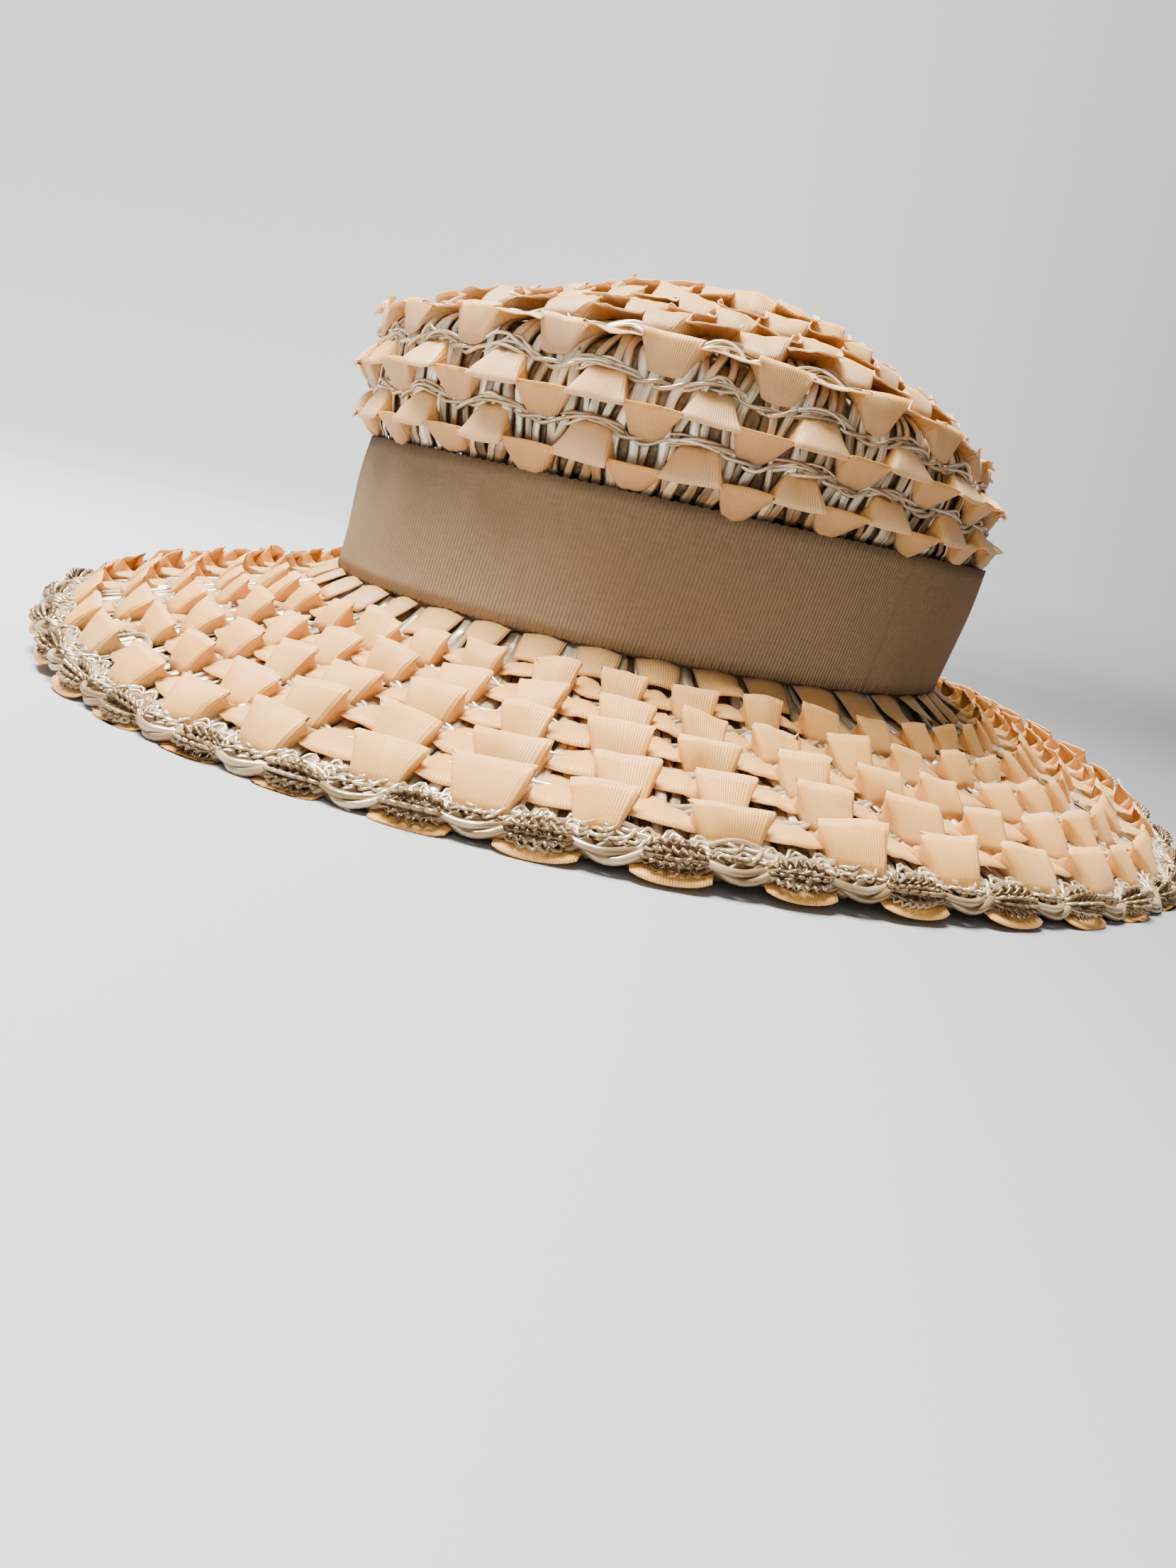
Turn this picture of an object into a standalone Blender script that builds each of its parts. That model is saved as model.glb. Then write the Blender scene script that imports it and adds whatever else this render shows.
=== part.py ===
"""Wide-brimmed sun hat of silver straw, with rows of peach ribbon woven in on edge, a plain ribbon
band and a thick straw cord at the rim. Metres, +Z up, front of the hat towards -Y. The hat is drawn
level with its band and then settled, so that the three lowest folds of the brim lie on Z = 0.

Angles run round the hat from +X, towards +Y. A crown place is (angle, station): station 0 is the top
edge of the band, CROWN_TIP is the tip, and each ribbon row has a station. A brim place is
(angle, share): share 0 is at the foot of the crown wall and share 1 is the middle of the rim cord."""

import math

import bmesh
import bpy
import numpy as np
from mathutils import Matrix, Vector

# Head size and crown, over the outside of the straw
HEAD_DEPTH = 0.1956
HEAD_WIDTH = 0.1762
CROWN_RISE = 0.057
CROWN_LEAN_X = 0.0030
CROWN_LEAN_Y = 0.0036
CROWN_FLARE = 0.0006
STRAW_WALL = 0.0025

# The low side of the crown, where it slumps
SLUMP_ANGLE = math.radians(47)
SLUMP_TIGHTNESS = 5

# Brim, to the middle of the rim cord
BRIM_DEPTH = 0.3560
BRIM_WIDTH = 0.3270
BRIM_DROP = 0.0270
BRIM_SHIFT_X = 0.0031
BRIM_SHIFT_Y = 0.0029
TWO_FOLD_WAVE = 0.0050
THREE_FOLD_WAVE = 0.0053

# Hat band and rim cord
BAND_HEIGHT = 0.0383
BAND_THICK = 0.0012
CORD_WIDTH = 0.0090
CORD_HEIGHT = 0.0070
CORD_SWELL = 0.0007

# Ribbon, woven in on its edge
RIBBON_PROUD = 0.0062
RIBBON_THICK = 0.0018
BRIM_TABS = 42
BRIM_TAB_REACH = 0.0082

# Gaps between pieces, and how far the rim cord is pressed flat where it rests
SEAT_GAP = 0.0003
RIBBON_GAP = 0.0006
FOOT_PRESS = 0.0006

# How many flat faces go round each shell
SHELL_FACES = 32
BAND_FACES = 36

# Columns: station, tall side's reach and rise, low side's reach and rise.
# Reach is a share of the head oval, rise a share of CROWN_RISE.
CROWN_SECTIONS = (
    (0.0, 1.000, 0.00, 1.000, 0.00),
    (0.5, 1.030, 0.12, 0.970, 0.07),
    (1.5, 1.060, 0.34, 0.940, 0.24),
    (2.5, 1.060, 0.56, 0.860, 0.39),
    (3.5, 0.880, 0.66, 0.750, 0.52),
    (4.5, 0.720, 0.73, 0.630, 0.66),
    (5.5, 0.570, 0.82, 0.500, 0.77),
    (6.5, 0.425, 0.91, 0.375, 0.86),
    (7.5, 0.265, 0.97, 0.240, 0.94),
    (8.5, 0.100, 1.00, 0.100, 1.00),
)
CROWN_TIP = 9.0

# Columns: share of the way out to the rim, share of the way down to it
BRIM_SECTIONS = (
    (0.00, 0.00),
    (0.05, 0.20),
    (0.25, 0.38),
    (0.60, 0.66),
    (1.00, 1.00),
)

# Columns: folds round the rim, height of each, angle of a crest
RIM_WAVES = (
    (2, TWO_FOLD_WAVE, math.radians(76)),
    (3, THREE_FOLD_WAVE, math.radians(-23)),
)

# Columns: station, ribbon tabs in the row, turn of the row as a share of a tab, and how many stations
# its tabs reach up and down
CROWN_ROWS = (
    (0.5, 24, 0.00, 0.50, 0.30),
    (1.5, 24, 0.00, 0.50, 0.50),
    (2.5, 24, 0.00, 0.42, 0.50),
    (3.5, 22, 0.00, 0.42, 0.40),
    (4.5, 19, 0.00, 0.42, 0.42),
    (5.5, 15, 0.00, 0.42, 0.42),
    (6.5, 11, 0.00, 0.42, 0.42),
    (7.5, 7, 0.00, 0.42, 0.42),
)

# Share of the brim at each row
BRIM_ROWS = (0.17, 0.33, 0.49, 0.65, 0.81)

# Columns, in shares of a tab: the free edge's place, the woven edge's place, which way it is woven
RIBBON_FOLDS = (
    (0.05, 0.13, 1),
    (0.45, 0.37, 1),
    (0.55, 0.63, -1),
    (0.95, 0.87, -1),
)

# Colours, as linear red, green, blue, then roughness
RIBBON_LOOK = ((0.83, 0.55, 0.36), 0.45)
STRAW_LOOK = ((0.62, 0.58, 0.50), 0.30)
BAND_LOOK = ((0.34, 0.22, 0.14), 0.60)


def clear_scene():
    for obj in list(bpy.data.objects):
        bpy.data.objects.remove(obj)


def new_collection(name):
    collection = bpy.data.collections.new(name)
    bpy.context.scene.collection.children.link(collection)
    return collection


def material(name, look):
    colour, roughness = look
    made = bpy.data.materials.new(name)
    made.use_nodes = True
    shader = made.node_tree.nodes["Principled BSDF"]
    shader.inputs["Base Color"].default_value = (*colour, 1)
    shader.inputs["Roughness"].default_value = roughness
    shader.inputs["Metallic"].default_value = 0
    return made


def between(rows, column, place):
    """The column's value at a place in a table whose first column rises."""
    return float(np.interp(place, [row[0] for row in rows], [row[column] for row in rows]))


def angles(count):
    return [2 * math.pi * i / count for i in range(count)]


def oval(angle, depth, width):
    return Vector((width / 2 * math.cos(angle), depth / 2 * math.sin(angle), 0))


def axis_at(height):
    """The crown's axis leans, so its middle moves with the height above the band's foot."""
    share = height / BAND_HEIGHT
    return Vector((CROWN_LEAN_X * share, CROWN_LEAN_Y * share, height))


def wall_point(angle, height, outwards=0.0):
    """A place on the straight wall under the band, or that far outside it."""
    grow = 2 * (outwards + CROWN_FLARE * height / BAND_HEIGHT)
    return axis_at(height) + oval(angle, HEAD_DEPTH + grow, HEAD_WIDTH + grow)


def crown_point(angle, station):
    slump = ((1 + math.cos(angle - SLUMP_ANGLE)) / 2) ** SLUMP_TIGHTNESS
    tip = (CROWN_TIP, 0, 1, 0, 1)
    rows = (*CROWN_SECTIONS, tip)
    reach = between(rows, 1, station) * (1 - slump) + between(rows, 3, station) * slump
    rise = between(rows, 2, station) * (1 - slump) + between(rows, 4, station) * slump
    grow = 2 * CROWN_FLARE
    ring = oval(angle, HEAD_DEPTH + grow, HEAD_WIDTH + grow)
    return axis_at(BAND_HEIGHT + rise * CROWN_RISE) + ring * reach


def rim_height(angle):
    wave = sum(height * math.cos(folds * (angle - crest)) for folds, height, crest in RIM_WAVES)
    return wave - BRIM_DROP


def brim_reach():
    """How far the rim cord's middle lies outside the head oval, on average."""
    return (BRIM_DEPTH + BRIM_WIDTH - HEAD_DEPTH - HEAD_WIDTH) / 4


def brim_point(angle, share):
    foot = oval(angle, HEAD_DEPTH, HEAD_WIDTH)
    rim = oval(angle, BRIM_DEPTH, BRIM_WIDTH) + Vector((BRIM_SHIFT_X, BRIM_SHIFT_Y, 0))
    place = foot.lerp(rim, share)
    place.z = rim_height(angle) * between(BRIM_SECTIONS, 1, share) - SEAT_GAP
    return place


def normal_at(surface, angle, place, turn):
    """Outward normal of a surface, where turn is 1 if its places run towards the tip and -1 if away."""
    step_angle = 0.01
    step_place = 0.01
    along = surface(angle + step_angle, place) - surface(angle - step_angle, place)
    across = surface(angle, place + step_place) - surface(angle, place - step_place)
    return along.cross(across * turn).normalized()


def mesh_object(name, mesh, look, parent, collection):
    obj = bpy.data.objects.new(name, mesh)
    obj.parent = parent
    mesh.materials.append(look)
    collection.objects.link(obj)
    return obj


def ring_mesh(name, rings, tip=None, closed=False):
    """Faces between rings of points. A tip closes the last ring, and closed joins it to the first ring,
    with its faces split the other way, so that both sides of a thin ring are folded alike."""
    form = bmesh.new()
    rows = [[form.verts.new(point) for point in ring] for ring in rings]
    for lower, upper in zip(rows, rows[1:]):
        for i in range(len(lower)):
            following = (i + 1) % len(lower)
            form.faces.new((lower[i], lower[following], upper[following]))
            form.faces.new((lower[i], upper[following], upper[i]))
    if closed:
        for i in range(len(rows[0])):
            following = (i + 1) % len(rows[0])
            form.faces.new((rows[-1][i], rows[-1][following], rows[0][i]))
            form.faces.new((rows[-1][following], rows[0][following], rows[0][i]))
    if tip is not None:
        top = form.verts.new(tip)
        for i in range(len(rows[-1])):
            form.faces.new((rows[-1][i], rows[-1][(i + 1) % len(rows[-1])], top))
    mesh = bpy.data.meshes.new(name)
    form.to_mesh(mesh)
    form.free()
    mesh.shade_smooth()
    mesh.set_sharp_from_angle(angle=math.radians(40))
    return mesh


def thicken(obj, wall, offset):
    solid = obj.modifiers.new("wall", "SOLIDIFY")
    solid.thickness = wall
    solid.offset = offset
    solid.use_even_offset = True


def crown_wall(look, parent, collection):
    """The straight straw wall that the band goes round. It stops clear of the crown's inner foot, which
    dips on the low side, where the crown leans in."""
    round_it = angles(SHELL_FACES)
    heights = (0, BAND_HEIGHT - SEAT_GAP - STRAW_WALL / 2)
    rings = [[wall_point(angle, height) for angle in round_it] for height in heights]
    obj = mesh_object("crown_wall", ring_mesh("crown_wall", rings), look, parent, collection)
    thicken(obj, STRAW_WALL, -1)


def crown_straw(look, parent, collection):
    """The crown's straw, from the top of its wall up to the closed tip."""
    round_it = angles(SHELL_FACES)
    rings = [[crown_point(angle, ring) for angle in round_it] for ring in range(int(CROWN_TIP))]
    mesh = ring_mesh("crown_straw", rings, tip=crown_point(0, CROWN_TIP))
    obj = mesh_object("crown_straw", mesh, look, parent, collection)
    thicken(obj, STRAW_WALL, -1)


def brim_straw(look, parent, collection):
    """The brim's straw, from the rim cord in to the foot of the crown wall."""
    round_it = angles(SHELL_FACES)
    end = 1 - (CORD_WIDTH / 2 + CORD_SWELL + SEAT_GAP) / brim_reach()
    shares = [end] + [row[0] for row in reversed(BRIM_SECTIONS) if row[0] < end]
    rings = [[brim_point(angle, share) for angle in round_it] for share in shares]
    obj = mesh_object("brim_straw", ring_mesh("brim_straw", rings), look, parent, collection)
    thicken(obj, STRAW_WALL, -1)


def hat_band(look, parent, collection):
    round_it = angles(BAND_FACES)
    gap = SEAT_GAP * 2
    heights = (gap, BAND_HEIGHT)
    rings = [[wall_point(angle, height, gap) for angle in round_it] for height in heights]
    obj = mesh_object("hat_band", ring_mesh("hat_band", rings), look, parent, collection)
    thicken(obj, BAND_THICK, 1)


def rim_frame(angle):
    """The rim cord's middle, and its directions out and up."""
    middle = brim_point(angle, 1)
    out = oval(angle, BRIM_DEPTH, BRIM_WIDTH).normalized()
    return middle, out, Vector((0, 0, 1))


def edge_cord(floor, look, parent, collection):
    """The straw cord that edges the rim, swollen between the tabs and flat where it rests."""
    sides = 6
    rings = [[] for _ in range(sides)]
    for i, angle in enumerate(angles(2 * BRIM_TABS)):
        middle, out, up = rim_frame(angle)
        swell = CORD_SWELL * (-1) ** i
        for side in range(sides):
            turn = 2 * math.pi * side / sides
            wide = (CORD_WIDTH / 2 + swell) * math.cos(turn)
            tall = (CORD_HEIGHT / 2 + swell) * math.sin(turn)
            point = middle + out * wide + up * tall
            point.z = max(point.z, floor(point.x, point.y))
            rings[side].append(point)
    mesh = ring_mesh("edge_cord", rings, closed=True)
    mesh_object("edge_cord", mesh, look, parent, collection)


def woven_ribbon(name, surface, row, reaches, tabs, turn, look, parent, collection):
    """A ribbon woven round the hat on its edge: its free edge stands proud on the row's line, and its
    other edge is caught in the straw by turns at row + reaches[0] and at row - reaches[1]."""
    way = 1 if surface is crown_point else -1
    free, root_high, root_low = [], [], []
    for tab in range(tabs):
        for free_at, root_at, side in RIBBON_FOLDS:
            free_angle = 2 * math.pi * (tab + free_at + turn) / tabs
            root_angle = 2 * math.pi * (tab + root_at + turn) / tabs
            tip = surface(free_angle, row) + normal_at(surface, free_angle, row, way) * RIBBON_PROUD
            root_row = row + (reaches[0] if side > 0 else -reaches[1])
            root = surface(root_angle, root_row)
            root += normal_at(surface, root_angle, root_row, way) * RIBBON_GAP
            across = surface(root_angle, root_row + 0.01) - surface(root_angle, root_row - 0.01)
            thick = across.normalized() * (way * RIBBON_THICK / 2)
            free.append(tip)
            root_high.append(root + thick)
            root_low.append(root - thick)
    mesh = ring_mesh(name, (free, root_high, root_low), closed=True)
    mesh_object(name, mesh, look, parent, collection)


def resting_plane():
    """The plane under the rim's three lowest folds, as level, slope along X and slope along Y."""
    folds, _, crest = RIM_WAVES[-1]
    feet = []
    for i in range(folds):
        trough = crest + math.pi * (2 * i + 1) / folds
        nearby = [trough + math.radians(step) for step in range(-40, 41)]
        feet.append(brim_point(min(nearby, key=rim_height), 1))
    rows = [(1, foot.x, foot.y) for foot in feet]
    lows = [foot.z - CORD_HEIGHT / 2 * math.sin(math.pi / 3) for foot in feet]
    level, slope_x, slope_y = np.linalg.solve(rows, lows)
    return level + FOOT_PRESS, slope_x, slope_y


def settled(plane):
    """The hat's place when it rests: the plane comes to Z = 0, with the rim's middle over the origin."""
    level, slope_x, slope_y = plane
    upright = Vector((-slope_x, -slope_y, 1)).rotation_difference(Vector((0, 0, 1)))
    turned = upright.to_matrix().to_4x4() @ Matrix.Translation((0, 0, -level))
    points = []
    for angle in angles(2 * BRIM_TABS):
        middle, out, _ = rim_frame(angle)
        points.append(turned @ (middle + out * CORD_WIDTH / 2))
    centre_x = (min(p.x for p in points) + max(p.x for p in points)) / 2
    centre_y = (min(p.y for p in points) + max(p.y for p in points)) / 2
    return Matrix.Translation((-centre_x, -centre_y, 0)) @ turned


def main():
    clear_scene()
    collection = new_collection("sun_hat")
    plane = resting_plane()

    def floor(x, y):
        level, slope_x, slope_y = plane
        return level + slope_x * x + slope_y * y

    hat = bpy.data.objects.new("hat", None)
    collection.objects.link(hat)
    hat.matrix_world = settled(plane)

    straw = material("silver_straw", STRAW_LOOK)
    peach = material("peach_ribbon", RIBBON_LOOK)
    tan = material("tan_band", BAND_LOOK)

    crown_wall(straw, hat, collection)
    crown_straw(straw, hat, collection)
    brim_straw(straw, hat, collection)
    hat_band(tan, hat, collection)
    edge_cord(floor, straw, hat, collection)

    for i, (station, tabs, turn, up, down) in enumerate(CROWN_ROWS):
        name = f"crown_ribbon_{i + 1}"
        woven_ribbon(name, crown_point, station, (up, down), tabs, turn, peach, hat, collection)
    reach = BRIM_TAB_REACH / brim_reach()
    for i, share in enumerate(BRIM_ROWS):
        name = f"brim_ribbon_{i + 1}"
        woven_ribbon(name, brim_point, share, (reach, reach), BRIM_TABS, 0, peach, hat, collection)


main()
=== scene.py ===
"""The looks of a wide-brimmed sun hat: woven ribbon rows, straw strands, twisted cords, a plain ribbon
band and a lacy rim, on a pale floor. Metres, +Z up. The hat's surfaces are the ones that the solids
follow, drawn level with the band and then settled on the floor in the same way."""

import math

import bpy
import numpy as np
from mathutils import Euler, Matrix, Vector


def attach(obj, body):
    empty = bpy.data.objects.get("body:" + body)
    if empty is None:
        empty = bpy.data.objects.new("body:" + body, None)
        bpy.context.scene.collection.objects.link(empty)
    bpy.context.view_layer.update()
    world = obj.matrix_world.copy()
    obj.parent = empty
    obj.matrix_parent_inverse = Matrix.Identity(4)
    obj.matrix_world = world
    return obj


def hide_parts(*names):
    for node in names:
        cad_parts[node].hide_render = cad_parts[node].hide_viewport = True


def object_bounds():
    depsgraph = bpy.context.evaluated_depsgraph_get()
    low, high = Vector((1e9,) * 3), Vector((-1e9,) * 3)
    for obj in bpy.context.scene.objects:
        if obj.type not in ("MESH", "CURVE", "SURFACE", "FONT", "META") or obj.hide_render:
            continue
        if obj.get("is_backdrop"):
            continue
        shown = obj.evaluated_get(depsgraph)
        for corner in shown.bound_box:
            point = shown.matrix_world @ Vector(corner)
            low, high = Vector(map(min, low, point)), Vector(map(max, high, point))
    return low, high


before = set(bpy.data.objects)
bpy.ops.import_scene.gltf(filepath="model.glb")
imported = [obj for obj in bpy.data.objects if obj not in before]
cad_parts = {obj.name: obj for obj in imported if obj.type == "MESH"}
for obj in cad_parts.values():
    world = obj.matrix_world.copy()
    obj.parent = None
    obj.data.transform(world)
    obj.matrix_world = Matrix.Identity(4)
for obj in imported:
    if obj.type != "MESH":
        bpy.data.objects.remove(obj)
cad_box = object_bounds()

BODY = "root"
TURN = 2 * math.pi

# The hat's forms, as in the solids
HEAD_DEPTH = 0.1956
HEAD_WIDTH = 0.1762
CROWN_RISE = 0.057
CROWN_LEAN = np.array([0.0030, 0.0036])
CROWN_FLARE = 0.0006
SLUMP_ANGLE = math.radians(47)
SLUMP_TIGHTNESS = 5
BRIM_DEPTH = 0.3560
BRIM_WIDTH = 0.3270
BRIM_DROP = 0.0270
BRIM_SHIFT = np.array([0.0031, 0.0029])
BAND_HEIGHT = 0.0383
CORD_WIDTH = 0.0090
CORD_HEIGHT = 0.0070
FOOT_PRESS = 0.0006
BRIM_TABS = 42
STATION_ON_WALL = 0.015

# Columns: station, tall side's reach and rise, low side's reach and rise
CROWN_SECTIONS = np.array((
    (0.0, 1.000, 0.00, 1.000, 0.00),
    (0.5, 1.030, 0.12, 0.970, 0.07),
    (1.5, 1.060, 0.34, 0.940, 0.24),
    (2.5, 1.060, 0.56, 0.860, 0.39),
    (3.5, 0.880, 0.66, 0.750, 0.52),
    (4.5, 0.720, 0.73, 0.630, 0.66),
    (5.5, 0.570, 0.82, 0.500, 0.77),
    (6.5, 0.425, 0.91, 0.375, 0.86),
    (7.5, 0.265, 0.97, 0.240, 0.94),
    (8.5, 0.100, 1.00, 0.100, 1.00),
    (9.0, 0.000, 1.00, 0.000, 1.00),
))

# Columns: share of the way out to the rim, share of the way down to it
BRIM_SECTIONS = np.array(((0.00, 0.00), (0.05, 0.20), (0.25, 0.38), (0.60, 0.66), (1.00, 1.00)))

# Columns: folds round the rim, height of each, angle of a crest
RIM_WAVES = ((2, 0.0050, math.radians(76)), (3, 0.0053, math.radians(-23)))

# Columns: station of the ribbon row, tabs in it, reach up and reach down
CROWN_ROWS = (
    (0.5, 24, 0.54, 0.62),
    (1.5, 24, 0.54, 0.56),
    (2.5, 24, 0.50, 0.46),
    (3.5, 22, 0.52, 0.52),
    (4.5, 19, 0.48, 0.48),
    (5.5, 15, 0.48, 0.48),
    (6.5, 11, 0.48, 0.48),
    (7.5, 7, 0.48, 0.48),
)
BRIM_ROWS = (0.20, 0.365, 0.525, 0.685, 0.845)
BRIM_TAB_REACH = 0.0085
RIBBON_PROUD = 0.0062
RIBBON_THICK = 0.0003

# Cloth as it was cut: the woven ribbon is taken as the kind sold as 10 mm, from one tab's height against
# the band and a guess at how far it stands out. Under the rim only part of its width shows. The band
# stands off the wall by its slack.
RIBBON_WIDTH = 0.010
RIM_TAB_WIDTH = 0.0072
BAND_SLACK = 0.0016

# Points of a woven ribbon along each tab and across, then of the rim's cords along each tab and of a loop
RIBBON_SAMPLES = 26
RIBBON_ACROSS = 6
RIM_SAMPLES = 24

# Straw: a strand's width and its lift off the surface, strands up the crown and in each bunch of the
# brim, the linings' depths under the surface, the wall lining's thickness
STRAND_WIDTH = 0.0030
STRAND_LIFT = 0.0004
CROWN_STRANDS = 186
BRIM_BUNCH = 8
LINING_OUTER = 0.0006
LINING_INNER = 0.0020
WALL_DEPTH = 0.0018

# Millimetres in a metre, for the ribbons' uv
MM = 1000

# A flat strand's cross-section, as shares of its width and of its height, and the painted shade at each
# place: darker at the edges and underneath, a little lighter on top
STRAND_PROFILE = np.array(((-0.5, 0.0), (-0.27, 0.55), (0.05, 0.75), (0.32, 0.5), (0.5, 0.0), (0.0, 0.2)))
STRAND_PAINTED_SHADE = np.array((-0.28, 0.0, 0.06, 0.0, -0.28, -0.4))

# Columns: how far out the floor's rings are, and how high
FLOOR_RINGS = ((0.6, 0), (1.2, 0), (1.8, 0.02), (2.4, 0.12), (2.9, 0.32), (3.3, 0.62), (3.6, 1.05),
               (3.8, 1.7), (3.9, 3.2))

# Columns, in shares of a tab along the ribbon: where it is, place of its free edge round the hat, place
# of its woven edge, which way it is woven. The free edge doubles back a little at each fold.
RIBBON_FOLDS = np.array((
    (-0.03, 0.035, -0.085, -1),
    (0.03, -0.035, 0.075, 1),
    (0.47, 0.535, 0.415, 1),
    (0.53, 0.465, 0.585, -1),
    (0.97, 1.035, 0.915, -1),
    (1.03, 0.965, 1.075, 1),
))
BRIM_FOLDS = np.array((
    (-0.03, 0.050, -0.090, -1),
    (0.03, -0.110, 0.030, 1),
    (0.47, 0.610, 0.470, 1),
    (0.53, 0.450, 0.590, -1),
    (0.97, 1.050, 0.910, -1),
    (1.03, 0.890, 1.030, 1),
))

# The camera, from a fit to the photograph: its place over the drawn hat, and the way it looks
CAMERA_PLACE = (0.281727, -0.258770, 0.036452)
CAMERA_TURN = (75.9950, -12.0715, 51.3368)
CAMERA_LENS = 27.03
CAMERA_FRAME = 36.0


def rng(seed):
    return np.random.default_rng(seed)


def smooth_table(rows, column, place, spread):
    """The column's value at a place in a table whose first column rises, with its corners rounded."""
    steps = np.linspace(-spread, spread, 5)
    return sum(np.interp(place + step, rows[:, 0], rows[:, column]) for step in steps) / len(steps)


def oval(angle, depth, width):
    return np.stack([width / 2 * np.cos(angle), depth / 2 * np.sin(angle), 0 * angle], -1)


def axis_at(height):
    share = height / BAND_HEIGHT
    return np.stack([CROWN_LEAN[0] * share, CROWN_LEAN[1] * share, height], -1)


def wall_point(angle, height):
    """A place on the straight wall under the band."""
    angle, height = np.broadcast_arrays(np.asarray(angle, float), np.asarray(height, float))
    grow = 2 * CROWN_FLARE * height / BAND_HEIGHT
    return axis_at(height) + oval(angle, HEAD_DEPTH + grow, HEAD_WIDTH + grow)


def crown_point(angle, station):
    """A place on the crown above the band, and on the wall for stations below 0."""
    angle, station = np.broadcast_arrays(np.asarray(angle, float), np.asarray(station, float))
    slump = ((1 + np.cos(angle - SLUMP_ANGLE)) / 2) ** SLUMP_TIGHTNESS
    columns = [smooth_table(CROWN_SECTIONS, column, station, 0.3) for column in (1, 2, 3, 4)]
    reach = columns[0] * (1 - slump) + columns[2] * slump
    rise = columns[1] * (1 - slump) + columns[3] * slump
    ring = oval(angle, HEAD_DEPTH + 2 * CROWN_FLARE, HEAD_WIDTH + 2 * CROWN_FLARE)
    below = np.minimum(station, 0) * STATION_ON_WALL
    return axis_at(BAND_HEIGHT + rise * CROWN_RISE + below) + ring * reach[..., None]


def rim_height(angle):
    wave = sum(height * np.cos(folds * (angle - crest)) for folds, height, crest in RIM_WAVES)
    return wave - BRIM_DROP


def brim_reach():
    return (BRIM_DEPTH + BRIM_WIDTH - HEAD_DEPTH - HEAD_WIDTH) / 4


def brim_point(angle, share):
    angle, share = np.broadcast_arrays(np.asarray(angle, float), np.asarray(share, float))
    foot = oval(angle, HEAD_DEPTH, HEAD_WIDTH)
    rim = oval(angle, BRIM_DEPTH, BRIM_WIDTH) + np.append(BRIM_SHIFT, 0)
    place = foot + (rim - foot) * share[..., None]
    place[..., 2] = rim_height(angle) * smooth_table(BRIM_SECTIONS, 1, share, 0.03)
    return place


def unit(vectors):
    return vectors / np.maximum(np.linalg.norm(vectors, axis=-1, keepdims=True), 1e-12)


def normal_at(surface, angle, place):
    """Outward normal: up on the brim, out on the crown."""
    step = 0.01
    along = surface(angle + step, place) - surface(angle - step, place)
    across = surface(angle, place + step) - surface(angle, place - step)
    way = 1 if surface is crown_point else -1
    return unit(np.cross(along, across * way))


def settled():
    """The hat's place when it rests on its rim's three lowest folds."""
    folds, _, crest = RIM_WAVES[-1]
    feet = []
    for i in range(folds):
        nearby = crest + math.pi * (2 * i + 1) / folds + np.radians(np.arange(-40, 41))
        feet.append(brim_point(nearby[np.argmin(rim_height(nearby))], 1.0))
    feet = np.array(feet)
    lows = feet[:, 2] - CORD_HEIGHT / 2 * math.sin(math.pi / 3)
    level, slope_x, slope_y = np.linalg.solve(np.insert(feet[:, :2], 0, 1, axis=1), lows)
    from_up = np.array([-slope_x, -slope_y, 1.0])
    up = Vector(from_up).rotation_difference(Vector((0, 0, 1))).to_matrix().to_4x4()
    turned = up @ Matrix.Translation((0, 0, -(level + FOOT_PRESS)))
    angle = np.arange(2 * BRIM_TABS) * math.pi / BRIM_TABS
    out = unit(oval(angle, BRIM_DEPTH, BRIM_WIDTH))
    rim = brim_point(angle, 1.0) + out * CORD_WIDTH / 2
    turned_rim = rim @ np.array(turned)[:3, :3].T + np.array(turned)[:3, 3]
    middle = (turned_rim.min(0) + turned_rim.max(0)) / 2
    return Matrix.Translation((-middle[0], -middle[1], 0)) @ turned


SETTLED = settled()
SETTLED_TURN = np.array(SETTLED)[:3, :3]
SETTLED_MOVE = np.array(SETTLED)[:3, 3]


def place_on_floor(points):
    return points @ SETTLED_TURN.T + SETTLED_MOVE


def mesh_piece(name, points, faces, uv, shades, material, nodes, slot):
    """A piece of the hat from drawn points, with one uv and one shade a point."""
    mesh = bpy.data.meshes.new(name)
    faces = np.asarray(faces, np.int32)
    mesh.vertices.add(len(points))
    mesh.vertices.foreach_set("co", place_on_floor(points).astype(np.float32).ravel())
    mesh.loops.add(faces.size)
    mesh.loops.foreach_set("vertex_index", faces.ravel())
    mesh.polygons.add(len(faces))
    mesh.polygons.foreach_set("loop_start", np.arange(len(faces), dtype=np.int32) * faces.shape[1])
    mesh.update(calc_edges=True)
    mesh.shade_smooth()
    layer = mesh.uv_layers.new(name="uv")
    layer.data.foreach_set("uv", uv[faces.ravel()].astype(np.float32).ravel())
    layer = mesh.attributes.new("shade", "FLOAT", "POINT")
    layer.data.foreach_set("value", np.asarray(shades, np.float32))
    mesh.materials.append(material)
    obj = bpy.data.objects.new(name, mesh)
    bpy.context.scene.collection.objects.link(obj)
    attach(obj, BODY)
    if nodes:
        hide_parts(*nodes)
    return obj


def grid_faces(rows, columns, close_rows=False, close_columns=False, start=0):
    """Quads of a grid of points numbered row by row, from start."""
    across = np.arange(columns if close_columns else columns - 1)
    down = np.arange(rows if close_rows else rows - 1)
    i, j = np.meshgrid(down, across, indexing="ij")
    i2 = (i + 1) % rows
    j2 = (j + 1) % columns
    quads = np.stack([i * columns + j, i * columns + j2, i2 * columns + j2, i2 * columns + j], -1)
    return quads.reshape(-1, 4) + start


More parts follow.
